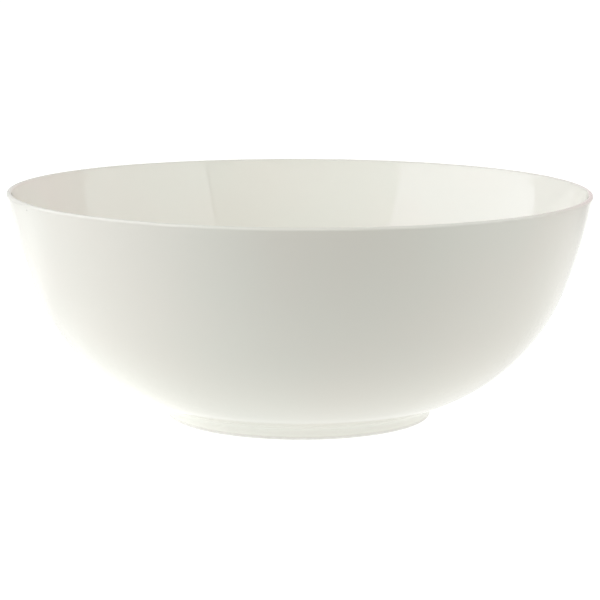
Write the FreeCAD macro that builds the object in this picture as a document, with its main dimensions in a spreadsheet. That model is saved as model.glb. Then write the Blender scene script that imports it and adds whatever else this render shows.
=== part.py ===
import FreeCAD, Part
import math
import os

import Sketcher

# A round porcelain serving bowl, 28 cm across, on a low foot ring.
# Lengths are in millimetres. +Z is up, the Z axis is the bowl's own axis, and the origin is the
# centre of the circle on which the foot ring stands.
#
# The bowl is five pieces:
#   bowl_body        the fired clay shell: wall, rounded lip and floor
#   foot_ring        the clay ring under the shell, whose bare underside stands on the table
#   inner_glaze      the coat inside the bowl, from the top of the lip to the middle of the floor
#   outer_glaze      the coat outside, from the top of the lip over the wall and down the foot
#   foot_well_glaze  the coat under the floor and down the inside of the foot
#
# Every piece is a profile turned about the Z axis. The named sizes are those of the finished,
# glazed surface. Clay lies one glaze thickness behind that surface, so each arc of clay has the
# same centre as the arc of glaze over it.

SIZES = {
    "rim_radius": 140.0,
    "bowl_height": 109.0,
    "lip_radius": 1.2,
    # Outside, a nearly straight upper stretch runs into one full curve down to the foot.
    "outer_upper_radius": 277.0,
    "outer_curve_radius": 96.2,
    "outer_curve_from_axis": 37.5,      # place of the full curve's centre
    "outer_curve_height": 98.4,
    # Inside, both stretches are tighter, so the wall thickens on its way down.
    "inner_upper_radius": 211.0,
    "inner_curve_radius": 91.5,
    "inner_curve_from_axis": 40.4,
    "inner_curve_height": 102.1,
    "floor_height": 9.5,                # the floor is slightly dished, and lowest at the axis
    "foot_radius": 63.75,
    "foot_inner_radius": 58.5,
    "foot_fillet_radius": 4.0,          # hollow curve between the foot and the outer wall
    "well_height": 5.0,                 # the underside of the floor above the table
    "well_fillet_radius": 2.0,
    "contact_round_radius": 1.2,
    "glaze_thickness": 0.3,
    "glaze_line_height": 1.6,           # the glaze stops this far above the table
}

START, END, CENTRE = 1, 2, 3            # the points of a sketched line or arc
HORIZONTAL_AXIS, VERTICAL_AXIS = -1, -2
ORIGIN_POINT = 1
GLAZED, CLAY = 0, 1                     # glaze thicknesses between the surface and a curve
RIGHT, UP, LEFT, DOWN = 0, 90, 180, -90     # directions from an arc's centre, in degrees


# ---- driving dimensions ----

def make_sheet():
    """The spreadsheet that holds the driving dimensions, one to a row."""
    dims = doc.addObject("Spreadsheet::Sheet", "dims")
    for row, (alias, value) in enumerate(SIZES.items(), start=1):
        dims.set(f"A{row}", alias)
        dims.set(f"B{row}", str(value))
        dims.setAlias(f"B{row}", alias)
    doc.recompute()
    return dims


def size(alias):
    """A driving dimension, read from the sheet."""
    return float(sheet.get(alias))


def inward(alias, depth):
    """Expression for a size that shrinks on the way from the glazed surface to the clay."""
    return f"dims.{alias} - {depth} * dims.glaze_thickness"


def outward(alias, depth):
    """Expression for a size that grows on the way from the glazed surface to the clay."""
    return f"dims.{alias} + {depth} * dims.glaze_thickness"


# ---- plane geometry of the profiles: x is the distance from the axis, y is the height ----

def point(x, y):
    return FreeCAD.Vector(x, y, 0)


def heading(start, end):
    """Direction from one point to another, in degrees."""
    return math.degrees(math.atan2(end.y - start.y, end.x - start.x))


def centre_between(first, first_reach, second, second_reach):
    """The point at given distances from two others, left of the way from first to second."""
    way = second - first
    along = (first_reach ** 2 - second_reach ** 2 + way.Length ** 2) / (2 * way.Length)
    aside = math.sqrt(first_reach ** 2 - along ** 2)
    left = point(-way.y, way.x)
    return first + (way * along + left * aside) / way.Length


def lip_centre():
    return point(size("rim_radius") - size("lip_radius"), size("bowl_height") - size("lip_radius"))


def outer_curve_centre():
    return point(size("outer_curve_from_axis"), size("outer_curve_height"))


def outer_upper_centre():
    """The upper arc touches the full curve and the round of the lip, both from outside."""
    radius = size("outer_upper_radius")
    return centre_between(
        outer_curve_centre(), radius - size("outer_curve_radius"),
        lip_centre(), radius - size("lip_radius"))


def inner_curve_centre():
    return point(size("inner_curve_from_axis"), size("inner_curve_height"))


def inner_upper_centre():
    """The upper arc touches the full curve, and passes inside the round of the lip."""
    radius = size("inner_upper_radius")
    return centre_between(
        inner_curve_centre(), radius - size("inner_curve_radius"),
        lip_centre(), radius + size("lip_radius"))


def floor_centre():
    """Centre, on the axis, of the dished floor's arc, which touches the inner wall's full curve."""
    curve = inner_curve_centre()
    rise = curve.y - size("floor_height")
    radius = (curve.x ** 2 + rise ** 2 - size("inner_curve_radius") ** 2) / (
        2 * (rise - size("inner_curve_radius")))
    return point(0, size("floor_height") + radius)


def foot_fillet_centre():
    """Centre of the hollow curve that touches the foot's wall and the bowl's outer wall."""
    curve = outer_curve_centre()
    reach = size("outer_curve_radius") + size("foot_fillet_radius")
    x = size("foot_radius") + size("foot_fillet_radius")
    return point(x, curve.y - math.sqrt(reach ** 2 - (x - curve.x) ** 2))


def well_fillet_centre():
    radius = size("well_fillet_radius")
    return point(size("foot_inner_radius") - radius, size("well_height") - radius)


def base_edge_heading():
    """Direction, from the outer curve's centre, of the corner between clay wall and flat base."""
    drop = outer_curve_centre().y - size("well_height") - size("glaze_thickness")
    return -math.degrees(math.asin(drop / (size("outer_curve_radius") - size("glaze_thickness"))))


# ---- sketching ----

def add_arc(sketch, centre, radius, first, last):
    """An arc that runs anticlockwise from one direction to another."""
    circle = Part.Circle(centre, FreeCAD.Vector(0, 0, 1), radius)
    return sketch.addGeometry(Part.ArcOfCircle(circle, math.radians(first), math.radians(last)))


def add_line(sketch, start, end):
    return sketch.addGeometry(Part.LineSegment(start, end))


def tie(sketch, kind, *targets):
    """A geometric constraint."""
    sketch.addConstraint(Sketcher.Constraint(kind, *targets))


def drive(sketch, kind, targets, expression):
    """A dimension bound to an expression of the driving dimensions."""
    value = float(sketch.evalExpression(expression))
    index = sketch.addConstraint(Sketcher.Constraint(kind, *targets, value))
    sketch.setExpression(f"Constraints[{index}]", expression)


def set_height(sketch, curve, end, expression):
    drive(sketch, "DistanceY", (HORIZONTAL_AXIS, ORIGIN_POINT, curve, end), expression)


def set_distance_from_axis(sketch, curve, end, expression):
    drive(sketch, "DistanceX", (HORIZONTAL_AXIS, ORIGIN_POINT, curve, end), expression)


def set_centre(sketch, arc, from_axis, height):
    set_distance_from_axis(sketch, arc, CENTRE, from_axis)
    set_height(sketch, arc, CENTRE, height)


def join_with_line(sketch, first, first_end, second, second_end):
    """A straight edge between the ends of two curves."""
    line = add_line(sketch, sketch.getPoint(first, first_end), sketch.getPoint(second, second_end))
    tie(sketch, "Coincident", line, START, first, first_end)
    tie(sketch, "Coincident", line, END, second, second_end)
    return line


def turn(label, draw_profile):
    """A body whose profile is drawn on its XZ plane and turned about the Z axis."""
    body = doc.addObject("PartDesign::Body", label)
    body.Label = label
    body.Placement = FreeCAD.Placement()
    sketch = body.newObject("Sketcher::SketchObject", f"{label}_profile")
    plane = next(datum for datum in body.Origin.OriginFeatures if datum.Role == "XZ_Plane")
    sketch.AttachmentSupport = (plane, [""])
    sketch.MapMode = "FlatFace"
    draw_profile(sketch)
    revolution = body.newObject("PartDesign::Revolution", f"{label}_turned")
    revolution.Profile = sketch
    revolution.ReferenceAxis = (sketch, ["V_Axis"])
    revolution.Angle = 360.0
    body.Tip = revolution
    return body


# ---- curves that several pieces share ----

def draw_lip(sketch, depth, first, last):
    """Part of the round of the lip."""
    radius = size("lip_radius") - depth * size("glaze_thickness")
    lip = add_arc(sketch, lip_centre(), radius, first, last)
    drive(sketch, "Radius", (lip,), inward("lip_radius", depth))
    set_centre(sketch, lip, "dims.rim_radius - dims.lip_radius", "dims.bowl_height - dims.lip_radius")
    return lip


def draw_outer_curve(sketch, depth, first, last):
    """Part of the outer wall's full curve."""
    radius = size("outer_curve_radius") - depth * size("glaze_thickness")
    curve = add_arc(sketch, outer_curve_centre(), radius, first, last)
    drive(sketch, "Radius", (curve,), inward("outer_curve_radius", depth))
    set_centre(sketch, curve, "dims.outer_curve_from_axis", "dims.outer_curve_height")
    return curve


def draw_outer_wall(sketch, depth, lowest, lip):
    """The outer wall from the lip's start down to a direction from the full curve's centre."""
    centre = outer_upper_centre()
    blend = heading(centre, outer_curve_centre())
    radius = size("outer_upper_radius") - depth * size("glaze_thickness")
    upper = add_arc(sketch, centre, radius, blend, heading(centre, lip_centre()))
    curve = draw_outer_curve(sketch, depth, lowest, blend)
    drive(sketch, "Radius", (upper,), inward("outer_upper_radius", depth))
    tie(sketch, "Tangent", upper, END, lip, START)
    tie(sketch, "Tangent", curve, END, upper, START)
    return curve


def draw_inner_wall(sketch, depth, lip):
    """The inner wall from the lip's end down to the middle of the floor."""
    back = depth * size("glaze_thickness")
    centre = inner_upper_centre()
    blend = heading(centre, inner_curve_centre())
    upper_radius = size("inner_upper_radius") + back
    upper = add_arc(sketch, centre, upper_radius, blend, heading(centre, lip_centre()))
    drive(sketch, "Radius", (upper,), outward("inner_upper_radius", depth))
    tie(sketch, "Tangent", upper, END, lip, END)

    floor_edge = heading(floor_centre(), inner_curve_centre())
    curve = add_arc(sketch, inner_curve_centre(), size("inner_curve_radius") + back, floor_edge, blend)
    drive(sketch, "Radius", (curve,), outward("inner_curve_radius", depth))
    set_centre(sketch, curve, "dims.inner_curve_from_axis", "dims.inner_curve_height")
    tie(sketch, "Tangent", curve, END, upper, START)

    floor_radius = floor_centre().y - size("floor_height") + back
    floor = add_arc(sketch, floor_centre(), floor_radius, DOWN, floor_edge)
    tie(sketch, "PointOnObject", floor, CENTRE, VERTICAL_AXIS)
    tie(sketch, "PointOnObject", floor, START, VERTICAL_AXIS)
    set_height(sketch, floor, START, inward("floor_height", depth))
    tie(sketch, "Tangent", floor, END, curve, START)
    return floor


def draw_foot_side(sketch, depth, wall_foot, curve, curve_end):
    """The hollow under one end of the outer wall's full curve, and the foot's outer wall below."""
    centre = foot_fillet_centre()
    radius = size("foot_fillet_radius") + depth * size("glaze_thickness")
    fillet = add_arc(sketch, centre, radius, heading(centre, outer_curve_centre()), LEFT)
    top = sketch.getPoint(fillet, END)
    wall = add_line(sketch, top, point(top.x, wall_foot))
    drive(sketch, "Radius", (fillet,), outward("foot_fillet_radius", depth))
    tie(sketch, "Vertical", wall)
    set_distance_from_axis(sketch, wall, START, inward("foot_radius", depth))
    tie(sketch, "Tangent", fillet, START, curve, curve_end)
    tie(sketch, "Tangent", fillet, END, wall, START)
    return wall


def draw_contact_round(sketch, centre_x, first, wall, wall_end):
    """The rounded edge between a wall of the foot, at one end of the arc, and its underside."""
    radius = size("contact_round_radius")
    edge = add_arc(sketch, point(centre_x, radius), radius, first, first + UP)
    drive(sketch, "Radius", (edge,), "dims.contact_round_radius")
    set_height(sketch, edge, CENTRE, "dims.contact_round_radius")
    tie(sketch, "Tangent", edge, wall_end, wall, END)
    return edge


def draw_well_side(sketch, depth, wall_foot, ceiling_end):
    """The floor's underside, the hollow at its edge and the foot's inner wall below that."""
    back = depth * size("glaze_thickness")
    fillet = add_arc(sketch, well_fillet_centre(), size("well_fillet_radius") + back, RIGHT, UP)
    top = sketch.getPoint(fillet, START)
    edge = sketch.getPoint(fillet, END)
    wall = add_line(sketch, top, point(top.x, wall_foot))
    ceiling = add_line(sketch, edge, point(ceiling_end, edge.y))
    drive(sketch, "Radius", (fillet,), outward("well_fillet_radius", depth))
    tie(sketch, "Vertical", wall)
    tie(sketch, "Horizontal", ceiling)
    set_distance_from_axis(sketch, wall, START, outward("foot_inner_radius", depth))
    set_height(sketch, ceiling, START, outward("well_height", depth))
    tie(sketch, "Tangent", fillet, START, wall, START)
    tie(sketch, "Tangent", fillet, END, ceiling, START)
    return wall, ceiling


# ---- the pieces ----

def draw_bowl_body(sketch):
    """Inner wall, lip, outer wall and the flat base that the foot ring surrounds."""
    lip = draw_lip(
        sketch, CLAY, heading(outer_upper_centre(), lip_centre()),
        heading(lip_centre(), inner_upper_centre()) % 360)
    floor = draw_inner_wall(sketch, CLAY, lip)
    curve = draw_outer_wall(sketch, CLAY, base_edge_heading(), lip)
    corner = sketch.getPoint(curve, START)
    base = add_line(sketch, corner, point(0, corner.y))
    tie(sketch, "Coincident", base, START, curve, START)
    tie(sketch, "Horizontal", base)
    tie(sketch, "PointOnObject", base, END, VERTICAL_AXIS)
    set_height(sketch, base, END, outward("well_height", CLAY))
    join_with_line(sketch, base, END, floor, START)


def draw_foot_ring(sketch):
    """A ring seated on the shell, with a flat contact band between two rounded edges."""
    round_radius = size("contact_round_radius")
    seat = draw_outer_curve(
        sketch, CLAY, base_edge_heading(), heading(outer_curve_centre(), foot_fillet_centre()))
    outer_wall = draw_foot_side(sketch, CLAY, round_radius, seat, END)
    corner = sketch.getPoint(seat, START)
    inner_wall, ceiling = draw_well_side(sketch, CLAY, round_radius, corner.x)
    tie(sketch, "Coincident", ceiling, END, seat, START)

    outer_x = sketch.getPoint(outer_wall, END).x - round_radius
    inner_x = sketch.getPoint(inner_wall, END).x + round_radius
    outer_edge = draw_contact_round(sketch, outer_x, DOWN, outer_wall, END)
    inner_edge = draw_contact_round(sketch, inner_x, LEFT, inner_wall, START)
    band = add_line(sketch, point(inner_x, 0), point(outer_x, 0))
    tie(sketch, "Tangent", band, START, inner_edge, END)
    tie(sketch, "Tangent", band, END, outer_edge, START)


def draw_inner_glaze(sketch):
    """A thin coat between two copies of the inner wall, split from the outer coat on the lip."""
    floors = []
    lips = []
    for depth in (GLAZED, CLAY):
        lip = draw_lip(sketch, depth, UP, heading(lip_centre(), inner_upper_centre()) % 360)
        tie(sketch, "Vertical", lip, CENTRE, lip, START)
        floors.append(draw_inner_wall(sketch, depth, lip))
        lips.append(lip)
    join_with_line(sketch, lips[GLAZED], START, lips[CLAY], START)
    join_with_line(sketch, floors[GLAZED], START, floors[CLAY], START)


def draw_outer_glaze(sketch):
    """A thin coat from the top of the lip down the outer wall and the foot, to the glaze line."""
    glaze_line = size("glaze_line_height")
    lowest = heading(outer_curve_centre(), foot_fillet_centre())
    lips = []
    walls = []
    for depth in (GLAZED, CLAY):
        lip = draw_lip(sketch, depth, heading(outer_upper_centre(), lip_centre()), UP)
        tie(sketch, "Vertical", lip, CENTRE, lip, END)
        curve = draw_outer_wall(sketch, depth, lowest, lip)
        walls.append(draw_foot_side(sketch, depth, glaze_line, curve, START))
        lips.append(lip)
    join_with_line(sketch, lips[GLAZED], END, lips[CLAY], END)
    close_at_glaze_line(sketch, walls)


def draw_foot_well_glaze(sketch):
    """A thin coat under the floor and down the foot's inner wall, to the glaze line."""
    walls = []
    ceilings = []
    for depth in (GLAZED, CLAY):
        wall, ceiling = draw_well_side(sketch, depth, size("glaze_line_height"), 0)
        tie(sketch, "PointOnObject", ceiling, END, VERTICAL_AXIS)
        walls.append(wall)
        ceilings.append(ceiling)
    join_with_line(sketch, ceilings[GLAZED], END, ceilings[CLAY], END)
    close_at_glaze_line(sketch, walls)


def close_at_glaze_line(sketch, walls):
    """The lower edge of a coat, level with the glaze line."""
    edge = join_with_line(sketch, walls[GLAZED], END, walls[CLAY], END)
    tie(sketch, "Horizontal", edge)
    set_height(sketch, edge, START, "dims.glaze_line_height")


PIECES = {
    "bowl_body": draw_bowl_body,
    "foot_ring": draw_foot_ring,
    "inner_glaze": draw_inner_glaze,
    "outer_glaze": draw_outer_glaze,
    "foot_well_glaze": draw_foot_well_glaze,
}


# ---- build, check and write ----

def check_document(pieces):
    """Stops with a message if anything in the document failed to build."""
    for item in doc.Objects:
        if "Invalid" in item.State or "Error" in item.State:
            raise RuntimeError(f"{item.Label} did not build: {item.State}")
        if item.TypeId == "Sketcher::SketchObject" and not item.FullyConstrained:
            raise RuntimeError(f"{item.Label} has free dimensions")
    for piece in pieces:
        if piece.Shape.isNull() or not piece.Shape.isValid():
            raise RuntimeError(f"{piece.Label} has no valid shape")
        if len(piece.Shape.Solids) != 1:
            raise RuntimeError(f"{piece.Label} is not one solid")


doc = FreeCAD.newDocument("porcelain_serving_bowl")
sheet = make_sheet()
pieces = [turn(label, draw_profile) for label, draw_profile in PIECES.items()]
doc.recompute()
check_document(pieces)

os.makedirs("parts", exist_ok=True)
for piece in pieces:
    piece.Shape.exportStep(f"parts/{piece.Label}.step")
    print(f"{piece.Label}: {piece.Shape.Volume / 1000:.2f} cm3")
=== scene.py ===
import math

import bpy
from mathutils import Euler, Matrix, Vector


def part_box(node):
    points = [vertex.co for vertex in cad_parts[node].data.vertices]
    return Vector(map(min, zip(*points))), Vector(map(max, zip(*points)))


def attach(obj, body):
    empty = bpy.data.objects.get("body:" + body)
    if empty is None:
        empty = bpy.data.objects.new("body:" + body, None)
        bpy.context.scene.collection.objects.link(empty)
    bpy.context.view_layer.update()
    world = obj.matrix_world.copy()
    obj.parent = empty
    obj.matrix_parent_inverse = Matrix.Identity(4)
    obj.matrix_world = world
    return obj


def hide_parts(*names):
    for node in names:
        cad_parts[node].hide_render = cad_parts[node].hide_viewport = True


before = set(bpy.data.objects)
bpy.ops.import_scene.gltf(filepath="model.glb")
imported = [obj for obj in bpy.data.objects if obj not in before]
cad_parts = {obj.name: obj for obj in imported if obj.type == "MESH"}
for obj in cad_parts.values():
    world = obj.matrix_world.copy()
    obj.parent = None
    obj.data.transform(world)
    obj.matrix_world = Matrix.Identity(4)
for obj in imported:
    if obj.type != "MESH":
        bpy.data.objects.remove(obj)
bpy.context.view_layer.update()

# A glazed porcelain serving bowl, in metres, in the CAD model's frame: +Z up, the bowl's axis on Z
# and the foot on Z = 0. Every piece is turned about the axis from an outline of tangent arcs.

MM = 0.001
RIGHT, UP, LEFT, DOWN = 0, 90, 180, -90     # directions from an arc's centre, in degrees


# ---- sizes: from the frame where it has them ----

glaze_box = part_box("outer_glaze")
well_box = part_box("foot_well_glaze")

GLAZE_THICKNESS = glaze_box[1].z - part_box("bowl_body")[1].z
RIM_RADIUS = min(glaze_box[1].x, glaze_box[1].y, -glaze_box[0].x, -glaze_box[0].y)
BOWL_HEIGHT = glaze_box[1].z
FLOOR_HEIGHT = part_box("inner_glaze")[0].z + GLAZE_THICKNESS
WELL_HEIGHT = well_box[1].z - GLAZE_THICKNESS
GLAZE_LINE = well_box[0].z

LIP_RADIUS = 1.2 * MM
OUTER_UPPER_RADIUS = 277.0 * MM
OUTER_CURVE_RADIUS = 96.2 * MM
OUTER_CURVE_CENTRE = (37.5 * MM, 98.4 * MM)
INNER_UPPER_RADIUS = 211.0 * MM
INNER_CURVE_RADIUS = 91.5 * MM
INNER_CURVE_CENTRE = (40.4 * MM, 102.1 * MM)
FOOT_RADIUS = 63.75 * MM
FOOT_INNER_RADIUS = 58.5 * MM
FOOT_FILLET_RADIUS = 4.0 * MM
WELL_FILLET_RADIUS = 2.0 * MM
CONTACT_ROUND_RADIUS = 1.2 * MM
LIP_CENTRE = (RIM_RADIUS - LIP_RADIUS, BOWL_HEIGHT - LIP_RADIUS)

SEGMENTS = 360                              # steps round the axis
ON_THE_AXIS = 1e-6                          # a point nearer the axis than this is one vertex


# ---- outlines: points are (distance from the axis, height) ----

def heading(start, end):
    """Direction from one point to another, in degrees."""
    return math.degrees(math.atan2(end[1] - start[1], end[0] - start[0]))


def centre_between(first, first_reach, second, second_reach):
    """The point at given distances from two others, left of the way from first to second."""
    way = (second[0] - first[0], second[1] - first[1])
    length = math.hypot(*way)
    along = (first_reach ** 2 - second_reach ** 2 + length ** 2) / (2 * length)
    aside = math.sqrt(first_reach ** 2 - along ** 2)
    return (
        first[0] + (way[0] * along - way[1] * aside) / length,
        first[1] + (way[1] * along + way[0] * aside) / length)


def arc(centre, radius, first, last, spacing):
    """Points along an arc from one direction to another, its last point left to the next piece."""
    sweep = math.radians(last - first)
    steps = max(2, math.ceil(abs(sweep) * radius / spacing))
    points = []
    for step in range(steps):
        angle = math.radians(first) + sweep * step / steps
        points.append((centre[0] + radius * math.cos(angle), centre[1] + radius * math.sin(angle)))
    return points


def line(start, end, spacing):
    """Points along a straight stretch, its last point left to the next piece."""
    length = math.dist(start, end)
    steps = max(1, math.ceil(length / spacing))
    return [
        (
            start[0] + (end[0] - start[0]) * step / steps,
            start[1] + (end[1] - start[1]) * step / steps)
        for step in range(steps)]


OUTER_UPPER_CENTRE = centre_between(
    OUTER_CURVE_CENTRE, OUTER_UPPER_RADIUS - OUTER_CURVE_RADIUS,
    LIP_CENTRE, OUTER_UPPER_RADIUS - LIP_RADIUS)
INNER_UPPER_CENTRE = centre_between(
    INNER_CURVE_CENTRE, INNER_UPPER_RADIUS - INNER_CURVE_RADIUS,
    LIP_CENTRE, INNER_UPPER_RADIUS + LIP_RADIUS)
FLOOR_RISE = INNER_CURVE_CENTRE[1] - FLOOR_HEIGHT
FLOOR_RADIUS = (INNER_CURVE_CENTRE[0] ** 2 + FLOOR_RISE ** 2 - INNER_CURVE_RADIUS ** 2) / (
    2 * (FLOOR_RISE - INNER_CURVE_RADIUS))
FLOOR_CENTRE = (0, FLOOR_HEIGHT + FLOOR_RADIUS)
FOOT_FILLET_CENTRE = (
    FOOT_RADIUS + FOOT_FILLET_RADIUS,
    OUTER_CURVE_CENTRE[1] - math.sqrt(
        (OUTER_CURVE_RADIUS + FOOT_FILLET_RADIUS) ** 2
        - (FOOT_RADIUS + FOOT_FILLET_RADIUS - OUTER_CURVE_CENTRE[0]) ** 2))
WELL_FILLET_CENTRE = (FOOT_INNER_RADIUS - WELL_FILLET_RADIUS, WELL_HEIGHT - WELL_FILLET_RADIUS)

OUTER_LEAN = heading(OUTER_UPPER_CENTRE, LIP_CENTRE)
OUTER_BLEND = heading(OUTER_UPPER_CENTRE, OUTER_CURVE_CENTRE)
OUTER_FOOT = heading(OUTER_CURVE_CENTRE, FOOT_FILLET_CENTRE)
INNER_LEAN = heading(INNER_UPPER_CENTRE, LIP_CENTRE)
INNER_BLEND = heading(INNER_UPPER_CENTRE, INNER_CURVE_CENTRE)
FLOOR_EDGE = heading(FLOOR_CENTRE, INNER_CURVE_CENTRE)

# The corner, in the clay, between the outer wall and the flat base inside the foot.
SEAT_RADIUS = OUTER_CURVE_RADIUS - GLAZE_THICKNESS
SEAT_DROP = OUTER_CURVE_CENTRE[1] - WELL_HEIGHT - GLAZE_THICKNESS
SEAT_CORNER = -math.degrees(math.asin(SEAT_DROP / SEAT_RADIUS))
SEAT_CORNER_RADIUS = OUTER_CURVE_CENTRE[0] + math.sqrt(SEAT_RADIUS ** 2 - SEAT_DROP ** 2)


def inner_outline(depth, spacing):
    """From the middle of the floor up the inner wall to the lip, a depth behind the glaze."""
    return (
        arc(FLOOR_CENTRE, FLOOR_RADIUS + depth, DOWN, FLOOR_EDGE, spacing)
        + arc(INNER_CURVE_CENTRE, INNER_CURVE_RADIUS + depth, FLOOR_EDGE, INNER_BLEND, spacing)
        + arc(INNER_UPPER_CENTRE, INNER_UPPER_RADIUS + depth, INNER_BLEND, INNER_LEAN, spacing))


def lip_outline(depth, spacing):
    """Over the lip, from inside to outside."""
    return arc(LIP_CENTRE, LIP_RADIUS - depth, LEFT + INNER_LEAN, OUTER_LEAN, spacing)


def outer_outline(depth, lowest, spacing):
    """From the lip down the outer wall."""
    return (
        arc(OUTER_UPPER_CENTRE, OUTER_UPPER_RADIUS - depth, OUTER_LEAN, OUTER_BLEND, spacing)
        + arc(OUTER_CURVE_CENTRE, OUTER_CURVE_RADIUS - depth, OUTER_BLEND, lowest, spacing))


def foot_outline(depth, lowest, spacing):
    """From the outer wall round the hollow and down the foot's outer wall."""
    wall = FOOT_RADIUS - depth
    return (
        arc(FOOT_FILLET_CENTRE, FOOT_FILLET_RADIUS + depth, LEFT + OUTER_FOOT, LEFT, spacing)
        + line((wall, FOOT_FILLET_CENTRE[1]), (wall, lowest), spacing))


def well_outline(depth, lowest, spacing):
    """From the middle of the foot well out along its ceiling and down the foot's inner wall."""
    ceiling = WELL_HEIGHT + depth
    wall = FOOT_INNER_RADIUS + depth
    return (
        line((0, ceiling), (WELL_FILLET_CENTRE[0], ceiling), spacing)
        + arc(WELL_FILLET_CENTRE, WELL_FILLET_RADIUS + depth, UP, RIGHT, spacing)
        + line((wall, WELL_FILLET_CENTRE[1]), (wall, lowest), spacing))


# ---- lathe work ----

# Fired porcelain is never quite true: the wall is slightly out of round, the rim rises and falls a
# little, and faint ripples run down the wall. Each row is (cycles round the bowl, depth, phase).
OUT_OF_ROUND = ((2, 0.13 * MM, 0.6), (3, 0.07 * MM, 2.1), (5, 0.03 * MM, 4.0))
RIM_WAVES = ((2, 0.10 * MM, 1.9), (3, 0.07 * MM, 0.3), (7, 0.02 * MM, 5.1))
RIPPLES = ((31, 0.006 * MM, 0.9), (47, 0.005 * MM, 3.3), (73, 0.003 * MM, 5.2))
TRUE_BELOW = 12.0 * MM                      # the foot was turned true after the wall dried


def waves(rows, angle):
    """A sum of waves round the bowl, shifted so that it is never below zero."""
    return sum(depth * (1 + math.cos(cycles * angle + phase)) for cycles, depth, phase in rows)


def settle(radius, height, angle):
    """Where a point of the true shape lies after firing: always inwards and downwards."""
    share = max(0.0, (height - TRUE_BELOW) / (BOWL_HEIGHT - TRUE_BELOW))
    shrink = waves(OUT_OF_ROUND, angle) * share + waves(RIPPLES, angle) * math.sqrt(share)
    drop = waves(RIM_WAVES, angle) * share ** 2
    return radius * (1 - shrink / RIM_RADIUS), height - drop


def lathe(name, outline, closed):
    """Turns an outline about the Z axis. One that isn't closed starts and ends on the axis."""
    vertices = []
    faces = []
    rings = []
    for radius, height in outline:
        if radius < ON_THE_AXIS:
            rings.append([len(vertices)])
            vertices.append((0.0, 0.0, height))
            continue
        rings.append(list(range(len(vertices), len(vertices) + SEGMENTS)))
        for segment in range(SEGMENTS):
            angle = math.tau * segment / SEGMENTS
            reach, level = settle(radius, height, angle)
            vertices.append((reach * math.cos(angle), reach * math.sin(angle), level))
    pairs = list(zip(rings, rings[1:]))
    if closed:
        pairs.append((rings[-1], rings[0]))
    for upper, lower in pairs:
        for segment in range(SEGMENTS):
            following = (segment + 1) % SEGMENTS
            corners = []
            for ring, step in (
                    (upper, segment), (lower, segment), (lower, following), (upper, following)):
                vertex = ring[step % len(ring)]
                if vertex not in corners:
                    corners.append(vertex)
            faces.append(corners)
    mesh = bpy.data.meshes.new(name)
    mesh.from_pydata(vertices, [], faces)
    mesh.validate()
    mesh.shade_smooth()
    piece = bpy.data.objects.new(name, mesh)
    bpy.context.scene.collection.objects.link(piece)
    return piece


FINE = 2.4 * MM                             # spacing of the rings along a surface that is seen
COARSE = 6.0 * MM                           # and along one that another piece covers
ROUND = 0.12 * MM                           # and round the lip and other small curves


def glaze_edge(wall, side):
    """The coat's lower edge, rolled over as it melted. side is 1 outside the foot, -1 in it."""
    radius = GLAZE_THICKNESS
    centre = (wall - side * radius, GLAZE_LINE + radius)
    first, last = (RIGHT, DOWN) if side > 0 else (LEFT, LEFT + UP)
    return arc(centre, radius, first, last, ROUND / 2)


def make_glaze_coat():
    """One coat runs from the middle of the floor over the lip to the foot, and back behind."""
    edge_top = GLAZE_LINE + GLAZE_THICKNESS
    front = (
        inner_outline(0, FINE) + lip_outline(0, ROUND) + outer_outline(0, OUTER_FOOT, FINE)
        + foot_outline(0, edge_top, ROUND * 4) + glaze_edge(FOOT_RADIUS, 1))
    back = (
        inner_outline(GLAZE_THICKNESS, COARSE) + lip_outline(GLAZE_THICKNESS, ROUND * 2)
        + outer_outline(GLAZE_THICKNESS, OUTER_FOOT, COARSE)
        + foot_outline(GLAZE_THICKNESS, GLAZE_LINE, ROUND * 4)
        + [(FOOT_RADIUS - GLAZE_THICKNESS, GLAZE_LINE)])
    coat = lathe("glaze_coat", front + back[::-1], closed=False)
    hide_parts("inner_glaze", "outer_glaze")
    return coat


def make_foot_well_coat():
    """The coat under the floor and down the inside of the foot."""
    edge_top = GLAZE_LINE + GLAZE_THICKNESS
    front = well_outline(0, edge_top, FINE / 2) + glaze_edge(FOOT_INNER_RADIUS, -1)
    back = well_outline(GLAZE_THICKNESS, GLAZE_LINE, COARSE) + [
        (FOOT_INNER_RADIUS + GLAZE_THICKNESS, GLAZE_LINE)]
    coat = lathe("foot_well_coat", front + back[::-1], closed=False)
    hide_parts("foot_well_glaze")
    return coat


def make_bowl_clay():
    """The shell of fired clay, which the glaze hides."""
    ceiling = WELL_HEIGHT + GLAZE_THICKNESS
    outline = (
        inner_outline(GLAZE_THICKNESS, COARSE) + lip_outline(GLAZE_THICKNESS, ROUND * 2)
        + outer_outline(GLAZE_THICKNESS, SEAT_CORNER, COARSE)
        + line((SEAT_CORNER_RADIUS, ceiling), (0, ceiling), COARSE) + [(0, ceiling)])
    clay = lathe("bowl_clay", outline, closed=False)
    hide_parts("bowl_body")
    return clay


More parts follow.
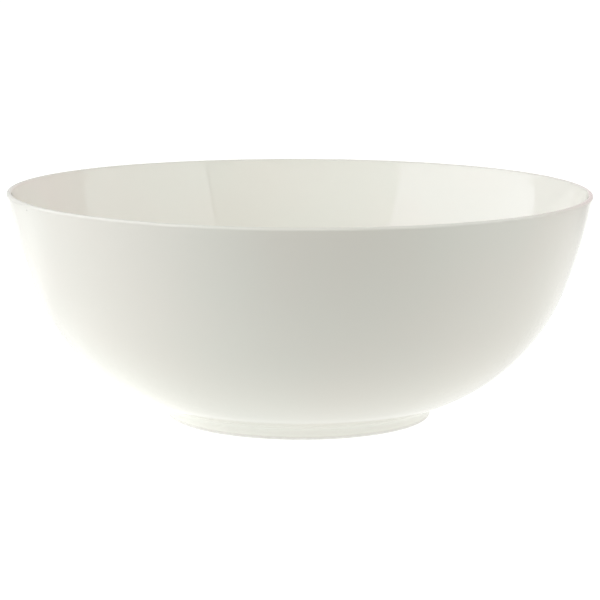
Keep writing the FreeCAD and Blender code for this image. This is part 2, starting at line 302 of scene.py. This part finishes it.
def make_foot_ring_clay():
    """The ring of bare clay that stands on the table."""
    depth = GLAZE_THICKNESS
    edge = CONTACT_ROUND_RADIUS
    outer = FOOT_RADIUS - depth
    inner = FOOT_INNER_RADIUS + depth
    ceiling = WELL_HEIGHT + depth
    seat = arc(OUTER_CURVE_CENTRE, OUTER_CURVE_RADIUS - depth, SEAT_CORNER, OUTER_FOOT, FINE)
    outside = (
        foot_outline(depth, edge, ROUND * 4)
        + arc((outer - edge, edge), edge, RIGHT, DOWN, ROUND))
    band = line((outer - edge, 0), (inner + edge, 0), FINE / 2)
    inside = (
        arc((inner + edge, edge), edge, LEFT + UP, LEFT, ROUND)
        + line((inner, edge), (inner, WELL_FILLET_CENTRE[1]), ROUND * 4)
        + arc(WELL_FILLET_CENTRE, WELL_FILLET_RADIUS + depth, RIGHT, UP, ROUND * 4)
        + line((WELL_FILLET_CENTRE[0], ceiling), (SEAT_CORNER_RADIUS, ceiling), FINE))
    clay = lathe("foot_ring_clay", seat + outside + band + inside, closed=True)
    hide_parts("foot_ring")
    return clay


# ---- materials ----

def new_material(name):
    """A material with its nodes, its links and its surface shader."""
    material = bpy.data.materials.new(name)
    material.use_nodes = True
    nodes = material.node_tree.nodes
    return material, nodes, material.node_tree.links, nodes["Principled BSDF"]


# A Mix node has sockets for every kind of data under the same names, so they go by their places.
MIX_SHARE = 0
MIX_NUMBERS = (2, 3)
MIX_NUMBER = 0
MIX_COLOURS = (6, 7)
MIX_COLOUR = 2


def add_node(nodes, kind, **inputs):
    """A node with some of its inputs set by name."""
    node = nodes.new(kind)
    for name, value in inputs.items():
        node.inputs[name].default_value = value
    return node


def noise(nodes, links, place, scale, detail=3.0, roughness=0.5):
    """Cloudy values from 0 to 1 that vary with place. scale is in waves a metre."""
    node = add_node(nodes, "ShaderNodeTexNoise", Scale=scale, Detail=detail, Roughness=roughness)
    links.new(place, node.inputs["Vector"])
    return node.outputs["Fac"]


def between(nodes, links, value, low, high, to_low=0.0, to_high=1.0, smooth=True):
    """A value mapped from one range to another, and held at its ends."""
    node = nodes.new("ShaderNodeMapRange")
    node.interpolation_type = "SMOOTHSTEP" if smooth else "LINEAR"
    links.new(value, node.inputs["Value"])
    for name, number in (
            ("From Min", low), ("From Max", high), ("To Min", to_low), ("To Max", to_high)):
        node.inputs[name].default_value = number
    return node.outputs["Result"]


def calculate(nodes, links, operation, first, second=None):
    """One sum on two values, each a number or another node's output."""
    node = nodes.new("ShaderNodeMath")
    node.operation = operation
    for socket, value in zip(node.inputs, (first, second)):
        if isinstance(value, bpy.types.NodeSocket):
            links.new(value, socket)
        elif value is not None:
            socket.default_value = value
    return node.outputs["Value"]


def tint(nodes, links, share, base, colour):
    """Mixes a colour into another by a share. base is a colour or another node's output."""
    node = nodes.new("ShaderNodeMix")
    node.data_type = "RGBA"
    first, second = (node.inputs[place] for place in MIX_COLOURS)
    links.new(share, node.inputs[MIX_SHARE])
    if isinstance(base, bpy.types.NodeSocket):
        links.new(base, first)
    else:
        first.default_value = base
    second.default_value = colour
    return node.outputs[MIX_COLOUR]


def place_nodes(nodes, links):
    """The place on the piece, its distance from the axis and its height."""
    place = nodes.new("ShaderNodeTexCoord").outputs["Object"]
    axes = nodes.new("ShaderNodeSeparateXYZ")
    links.new(place, axes.inputs["Vector"])
    across = nodes.new("ShaderNodeCombineXYZ")
    links.new(axes.outputs["X"], across.inputs["X"])
    links.new(axes.outputs["Y"], across.inputs["Y"])
    length = nodes.new("ShaderNodeVectorMath")
    length.operation = "LENGTH"
    links.new(across.outputs["Vector"], length.inputs[0])
    return place, length.outputs["Value"], axes.outputs["Z"]


def distance_from(nodes, links, place, point):
    """How far each place is from a point."""
    offset = nodes.new("ShaderNodeVectorMath")
    offset.operation = "DISTANCE"
    links.new(place, offset.inputs[0])
    offset.inputs[1].default_value = point
    return offset.outputs["Value"]


def add_bump(nodes, links, shader, relief, strength, depth):
    """Lets a relief from 0 to 1 tilt the surface's shading."""
    bump = add_node(nodes, "ShaderNodeBump", Strength=strength, Distance=depth)
    links.new(relief, bump.inputs["Height"])
    links.new(bump.outputs["Normal"], shader.inputs["Normal"])


SOFT_SHARE = 0.35                           # how much of a dot's radius its soft rim takes
HAIR = 0.001                                # a step narrow enough to be a sharp one


def spots(nodes, links, place, scale, size, rarity):
    """Scattered round dots, 1 inside and 0 outside. Rarity is the share of cells without one.

    scale is in cells a metre, and size in cells.
    """
    cells = add_node(nodes, "ShaderNodeTexVoronoi", Scale=scale, Randomness=1.0)
    links.new(place, cells.inputs["Vector"])
    channels = nodes.new("ShaderNodeSeparateColor")
    links.new(cells.outputs["Color"], channels.inputs["Color"])
    chosen = between(nodes, links, channels.outputs["Red"], rarity, rarity + HAIR, smooth=False)
    # The green channel gives each dot a size of its own.
    reach = calculate(nodes, links, "MULTIPLY", channels.outputs["Green"], size)
    inside = calculate(nodes, links, "SUBTRACT", reach, cells.outputs["Distance"])
    dot = between(nodes, links, inside, 0.0, size * SOFT_SHARE)
    return calculate(nodes, links, "MULTIPLY", dot, chosen)


WHITE = (0.835, 0.835, 0.775, 1)            # clear glaze over white clay, faintly warm and green
WARM_WHITE = (0.845, 0.825, 0.765, 1)
POOLED_AND_LIT = (0.890, 0.900, 0.845, 1)           # painted light, lighter over the shaded hollow above the foot, and a little greener where glaze gathers
SHADED_LIP = (0.790, 0.775, 0.715, 1)             # and painted shade, darker and greyer over the lip
IRON = (0.150, 0.105, 0.070, 1)             # a grain of iron in the clay, burnt to a speck

CLOUD_SCALE = 14                            # waves a metre in the glaze's two whites
CLOUD_RANGE = (0.30, 0.70)
POOL_AND_LIGHT_HEIGHTS = (10.5 * MM, 3.0 * MM)        # where the painted light and pooling start and where they are full
POOL_AND_LIGHT_RADII = (75 * MM, 66 * MM)
POOL_AND_LIGHT_SHARE = 0.5
LIP_DEPTHS = (2.2 * MM, 0.4 * MM)           # below the rim: where the painted shade starts, where it is full
LIP_SHADE_SHARE = 0.5
SPECK_CELLS = 55                            # cells a metre, of which few hold a small iron speck
SPECK_SIZE = 0.022
SPECK_RARITY = 0.955
SPECK_SHARE = 0.55
SPECK_PLACE = (-0.1236, -0.0640, 0.1062)    # one larger speck, just under the lip
SPECK_RADIUS = 0.55 * MM
SPECK_CORE = 0.4                            # share of its radius that is fully dark
LARGE_SPECK_SHARE = 0.7
SHEEN_SCALE = 45
SHEEN_RANGE = (0.25, 0.75)
GLAZE_ROUGHNESS = (0.030, 0.065)
PEEL_SCALE = 150
GRAIN_SCALE = 700
GRAIN_SHARE = 0.12
PINHOLE_CELLS = 90
PINHOLE_SIZE = 0.030
PINHOLE_RARITY = 0.965
PINHOLE_DEPTH = -1.6
GLAZE_BUMP = 0.35
GLAZE_RELIEF = 0.05 * MM
GLAZE_IOR = 1.52


def make_glaze_material():
    """Glossy clear glaze over white porcelain, with the small faults of a fired coat."""
    material, nodes, links, shader = new_material("white_glaze")
    place, from_axis, height = place_nodes(nodes, links)

    clouds = noise(nodes, links, place, CLOUD_SCALE, detail=2.0)
    clouds = between(nodes, links, clouds, *CLOUD_RANGE)
    colour = tint(nodes, links, clouds, WHITE, WARM_WHITE)

    # Painted light: lighter, and a little greener, low down near the foot where the hollow is in
    # shade.
    low = between(nodes, links, height, *POOL_AND_LIGHT_HEIGHTS)
    near_foot = between(nodes, links, from_axis, *POOL_AND_LIGHT_RADII)
    pooled_and_lit = calculate(nodes, links, "MULTIPLY", low, near_foot)
    pooled_and_lit = calculate(nodes, links, "MULTIPLY", pooled_and_lit, POOL_AND_LIGHT_SHARE)
    colour = tint(nodes, links, pooled_and_lit, colour, POOLED_AND_LIT)

    # Painted shade: darker and greyer over the lip.
    lip = between(nodes, links, height, *(BOWL_HEIGHT - depth for depth in LIP_DEPTHS))
    lip = calculate(nodes, links, "MULTIPLY", lip, LIP_SHADE_SHARE)
    colour = tint(nodes, links, lip, colour, SHADED_LIP)

    specks = spots(nodes, links, place, SPECK_CELLS, SPECK_SIZE, SPECK_RARITY)
    specks = calculate(nodes, links, "MULTIPLY", specks, SPECK_SHARE)
    colour = tint(nodes, links, specks, colour, IRON)
    from_speck = distance_from(nodes, links, place, SPECK_PLACE)
    speck = between(nodes, links, from_speck, SPECK_RADIUS, SPECK_RADIUS * SPECK_CORE)
    speck = calculate(nodes, links, "MULTIPLY", speck, LARGE_SPECK_SHARE)
    colour = tint(nodes, links, speck, colour, IRON)
    links.new(colour, shader.inputs["Base Color"])

    sheen_patches = noise(nodes, links, place, SHEEN_SCALE)
    roughness = between(nodes, links, sheen_patches, *SHEEN_RANGE, *GLAZE_ROUGHNESS)
    links.new(roughness, shader.inputs["Roughness"])

    # Orange peel, a finer grain in it, and pinholes where gas broke through.
    peel = noise(nodes, links, place, PEEL_SCALE, detail=2.0)
    grain = noise(nodes, links, place, GRAIN_SCALE, detail=2.0)
    grain = calculate(nodes, links, "MULTIPLY", grain, GRAIN_SHARE)
    holes = spots(nodes, links, place, PINHOLE_CELLS, PINHOLE_SIZE, PINHOLE_RARITY)
    holes = calculate(nodes, links, "MULTIPLY", holes, PINHOLE_DEPTH)
    relief = calculate(nodes, links, "ADD", calculate(nodes, links, "ADD", peel, grain), holes)
    add_bump(nodes, links, shader, relief, GLAZE_BUMP, GLAZE_RELIEF)
    shader.inputs["IOR"].default_value = GLAZE_IOR
    return material


CLAY = (0.800, 0.795, 0.765, 1)
TOASTED = (0.760, 0.735, 0.680, 1)          # bare clay colours a little beside the glaze's edge
WORN = (0.560, 0.540, 0.500, 1)             # grey rubbed into the band that slides on tables
MOTTLE_SCALE = 260
MOTTLE_RANGE = (0.35, 0.75)
MOTTLE_SHARE = 0.35
TOASTED_FROM = 0.7 * MM                     # height at which the toasted edge starts
TOASTED_SHARE = 0.55
RUBBED_TO = 0.35 * MM                       # height up to which the table has rubbed the foot
RUBBED_SCALE = 90
RUBBED_RANGE = (0.42, 0.70)
RUBBED_SHARE = 0.6
CLAY_SHEEN_SCALE = 400
CLAY_SHEEN_RANGE = (0.3, 0.7)
CLAY_ROUGHNESS = (0.62, 0.82)
GRIT_SCALE = 2600
CLAY_BUMP = 0.8
CLAY_RELIEF = 0.06 * MM


def make_clay_material():
    """Bare fired porcelain: matt, sugary and a little stained where it has been used."""
    material, nodes, links, shader = new_material("bare_porcelain")
    place, _, height = place_nodes(nodes, links)

    mottle = noise(nodes, links, place, MOTTLE_SCALE, detail=4.0, roughness=0.65)
    mottle = between(nodes, links, mottle, *MOTTLE_RANGE, 0.0, MOTTLE_SHARE)
    beside_glaze = between(nodes, links, height, TOASTED_FROM, GLAZE_LINE, 0.0, TOASTED_SHARE)
    rubbed = between(nodes, links, height, RUBBED_TO, 0.0)
    patches = noise(nodes, links, place, RUBBED_SCALE)
    patches = between(nodes, links, patches, *RUBBED_RANGE)
    worn = calculate(nodes, links, "MULTIPLY", rubbed, patches)
    worn = calculate(nodes, links, "MULTIPLY", worn, RUBBED_SHARE)
    colour = tint(nodes, links, mottle, CLAY, WORN)
    colour = tint(nodes, links, beside_glaze, colour, TOASTED)
    colour = tint(nodes, links, worn, colour, WORN)
    links.new(colour, shader.inputs["Base Color"])

    sheen_patches = noise(nodes, links, place, CLAY_SHEEN_SCALE)
    roughness = between(nodes, links, sheen_patches, *CLAY_SHEEN_RANGE, *CLAY_ROUGHNESS)
    links.new(roughness, shader.inputs["Roughness"])

    grit = noise(nodes, links, place, GRIT_SCALE, detail=3.0, roughness=0.7)
    add_bump(nodes, links, shader, grit, CLAY_BUMP, CLAY_RELIEF)
    return material


# ---- the room ----

FLOOR_SIZE = 12.0
FLOOR_COLOUR = (0.02, 0.02, 0.02, 1)
FLOOR_ROUGHNESS = 0.9
FLOOR_GLOW = (0.99, 1.0, 0.97, 1)
FLOOR_WHITE = 1.06                          # how bright the table itself looks
# The light that the table lends the bowl: a level all over it, and pools of more or less. Each
# pool says where its centre is, how far it is even, where it has faded, and its strength.
FLOOR_LEVEL = 0.44
FLOOR_POOLS = {
    "under_the_bowl": ((0.0, 0.0, 0.0), 0.06, 0.60, 0.50),
    "at_the_foot": ((0.0, 0.0, 0.0), 0.063, 0.072, 0.10),
    "left_of_the_foot": ((-0.080, -0.050, 0.0), 0.01, 0.06, 0.10),
    "right_of_the_foot": ((0.085, -0.035, 0.0), 0.01, 0.06, 0.08),
    "shade_in_front": ((0.05, -0.395, 0.0), 0.10, 0.33, -0.62),
    "shade_behind": ((0.0, 0.27, 0.0), 0.08, 0.24, -0.30),
    "left": ((-0.50, 0.10, 0.0), 0.10, 0.45, 0.22),
    "behind_left": ((-0.27, 0.28, 0.0), 0.10, 0.28, 0.36),
    "beside_the_foot": ((-0.12, 0.0, 0.0), 0.03, 0.12, 0.27),
    "right": ((0.50, 0.15, 0.0), 0.10, 0.45, 0.05),
    "behind_right": ((0.26, 0.21, 0.0), 0.06, 0.30, 0.30),
    "behind": ((0.0, 0.85, 0.0), 0.40, 0.65, 0.72),
}


def make_floor():
    """A pale table top, lit from below as on a product photographer's light table."""
    half = FLOOR_SIZE / 2
    corners = [(-half, -half, 0), (half, -half, 0), (half, half, 0), (-half, half, 0)]
    mesh = bpy.data.meshes.new("floor")
    mesh.from_pydata(corners, [], [(0, 1, 2, 3)])
    floor = bpy.data.objects.new("floor", mesh)
    bpy.context.scene.collection.objects.link(floor)
    material, nodes, links, shader = new_material("floor")
    shader.inputs["Base Color"].default_value = FLOOR_COLOUR
    shader.inputs["Roughness"].default_value = FLOOR_ROUGHNESS
    shader.inputs["Emission Color"].default_value = FLOOR_GLOW
    place = nodes.new("ShaderNodeTexCoord").outputs["Object"]
    lent = FLOOR_LEVEL
    for name, (centre, even_to, faded_by, strength) in FLOOR_POOLS.items():
        away = distance_from(nodes, links, place, centre)
        pool = between(nodes, links, away, even_to, faded_by, strength, 0.0)
        pool.node.label = name
        lent = calculate(nodes, links, "ADD", pool, lent)
    # The table looks evenly white, whatever light it lends.
    glow = nodes.new("ShaderNodeMix")
    to_bowl, to_camera = (glow.inputs[place] for place in MIX_NUMBERS)
    links.new(nodes.new("ShaderNodeLightPath").outputs["Is Camera Ray"], glow.inputs[MIX_SHARE])
    links.new(lent, to_bowl)
    to_camera.default_value = FLOOR_WHITE
    links.new(glow.outputs[MIX_NUMBER], shader.inputs["Emission Strength"])
    floor.data.materials.append(material)


ROOM_LIGHT = 0.10
BACKDROP = 1.1


def make_room_light():
    """Even light from all round, with a white backdrop wherever the camera looks past the bowl."""
    world = bpy.data.worlds.new("room")
    bpy.context.scene.world = world
    world.use_nodes = True
    nodes = world.node_tree.nodes
    links = world.node_tree.links
    background = nodes["Background"]
    background.inputs["Color"].default_value = (1, 1, 1, 1)
    seen = nodes.new("ShaderNodeLightPath").outputs["Is Camera Ray"]
    strength = nodes.new("ShaderNodeMapRange")
    links.new(seen, strength.inputs["Value"])
    strength.inputs["To Min"].default_value = ROOM_LIGHT
    strength.inputs["To Max"].default_value = BACKDROP
    links.new(strength.outputs["Result"], background.inputs["Strength"])


# Screens of lit cloth hang round the table: first and last direction round the bowl (0 is towards
# the camera, positive to its right), distance, height of the lower and the upper edge, radiance at
# the first and at the last end, colour.
SCREENS = {
    "screen_front": (-46.5, 41.6, 1.5, 0.55, 2.1, 1.30, 0.88, (0.93, 1.0, 0.92)),
    "screen_front_low": (-55, 41.6, 1.6, 0.15, 0.75, 1.15, 1.10, (1.06, 1.0, 1.0)),
    "screen_left": (-125, -46.5, 1.5, 0.33, 2.1, 2.15, 2.42, (1.0, 1.0, 1.05)),
    "screen_right": (42.9, 111, 1.5, 0.38, 2.1, 1.53, 1.68, (1.0, 1.0, 1.0)),
    "screen_back_left": (-180, -95, 1.7, 0.02, 1.8, 0.72, 0.80, (1.0, 1.0, 0.96)),
    "screen_back_right": (95, 180, 1.7, 0.02, 1.8, 0.72, 0.72, (1.16, 0.96, 0.98)),
}
SCREEN_CORNER = 0.14
SCREEN_STEP = 1.0


def make_screen(name, first, last, distance, bottom, top, first_glow, last_glow, colour):
    """A curved lit rectangle with rounded corners, facing the bowl. The camera looks past it."""
    steps = math.ceil((last - first) / SCREEN_STEP)
    vertices = []
    for step in range(steps + 1):
        turn = math.radians(first + (last - first) * step / steps)
        from_edge = distance * math.radians(last - first) * min(step, steps - step) / steps
        into_corner = max(0.0, SCREEN_CORNER - from_edge)
        inset = SCREEN_CORNER - math.sqrt(SCREEN_CORNER ** 2 - into_corner ** 2)
        for height in (bottom + inset, top - inset):
            vertices.append((distance * math.sin(turn), -distance * math.cos(turn), height))
    faces = [(2 * step, 2 * step + 2, 2 * step + 3, 2 * step + 1) for step in range(steps)]
    mesh = bpy.data.meshes.new(name)
    mesh.from_pydata(vertices, [], faces)
    along_and_up = mesh.uv_layers.new(name="along_and_up")
    for loop in mesh.loops:
        step, is_top = divmod(loop.vertex_index, 2)
        along_and_up.data[loop.index].uv = (step / steps, is_top)
    screen = bpy.data.objects.new(name, mesh)
    screen.visible_camera = False
    bpy.context.scene.collection.objects.link(screen)
    material, nodes, links, shader = new_material(name)
    shader.inputs["Base Color"].default_value = (0, 0, 0, 1)
    shader.inputs["Emission Color"].default_value = (*colour, 1)
    along = nodes.new("ShaderNodeSeparateXYZ")
    links.new(nodes.new("ShaderNodeTexCoord").outputs["UV"], along.inputs["Vector"])
    radiance = between(
        nodes, links, along.outputs["X"], 0.0, 1.0, first_glow, last_glow, smooth=False)
    links.new(radiance, shader.inputs["Emission Strength"])
    mesh.materials.append(material)


OVERHEAD_HEIGHT = 1.9
OVERHEAD_SIZE = 2.0
OVERHEAD_RADIANCE = 0.10


def make_overhead_light():
    """A broad soft box that hangs over the table."""
    light = bpy.data.lights.new("overhead", "AREA")
    light.shape = "RECTANGLE"
    light.size = OVERHEAD_SIZE
    light.size_y = OVERHEAD_SIZE
    light.energy = OVERHEAD_RADIANCE * math.pi * OVERHEAD_SIZE ** 2
    lamp = bpy.data.objects.new("overhead", light)
    lamp.location = (0, 0, OVERHEAD_HEIGHT)
    bpy.context.scene.collection.objects.link(lamp)


# ---- the camera ----

CAMERA_DISTANCE = 1.2
CAMERA_ELEVATION = 9.30                     # degrees above the table
CAMERA_ROLL = 0.3                           # the camera leans, so the right side sits lower
CAMERA_SIDESTEP = 0.34 * MM
CAMERA_AIM_HEIGHT = 55.1 * MM
CAMERA_REACH = 50.0
LENS = 149.25
SENSOR = 36.0


def make_camera():
    """The camera, in front of the bowl and a little above it."""
    data = bpy.data.cameras.new("camera")
    data.sensor_width = SENSOR
    data.lens = LENS
    data.clip_end = CAMERA_REACH
    camera = bpy.data.objects.new("camera", data)
    tilt = math.radians(CAMERA_ELEVATION)
    camera.location = (
        CAMERA_SIDESTEP, -CAMERA_DISTANCE * math.cos(tilt),
        CAMERA_AIM_HEIGHT + CAMERA_DISTANCE * math.sin(tilt))
    facing = Euler((math.radians(90) - tilt, 0, 0)).to_matrix()
    roll = Euler((0, 0, math.radians(CAMERA_ROLL))).to_matrix()
    camera.rotation_euler = (facing @ roll).to_euler()
    bpy.context.scene.collection.objects.link(camera)
    bpy.context.scene.camera = camera


# ---- the scene ----

glaze = make_glaze_material()
bare_clay = make_clay_material()
for make_piece, material in (
        (make_bowl_clay, bare_clay), (make_foot_ring_clay, bare_clay),
        (make_glaze_coat, glaze), (make_foot_well_coat, glaze)):
    piece = make_piece()
    piece.data.materials.append(material)
    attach(piece, "root")

for name, settings in SCREENS.items():
    make_screen(name, *settings)
make_overhead_light()
make_floor()
make_room_light()
make_camera()
bpy.context.scene.view_settings.view_transform = "Standard"
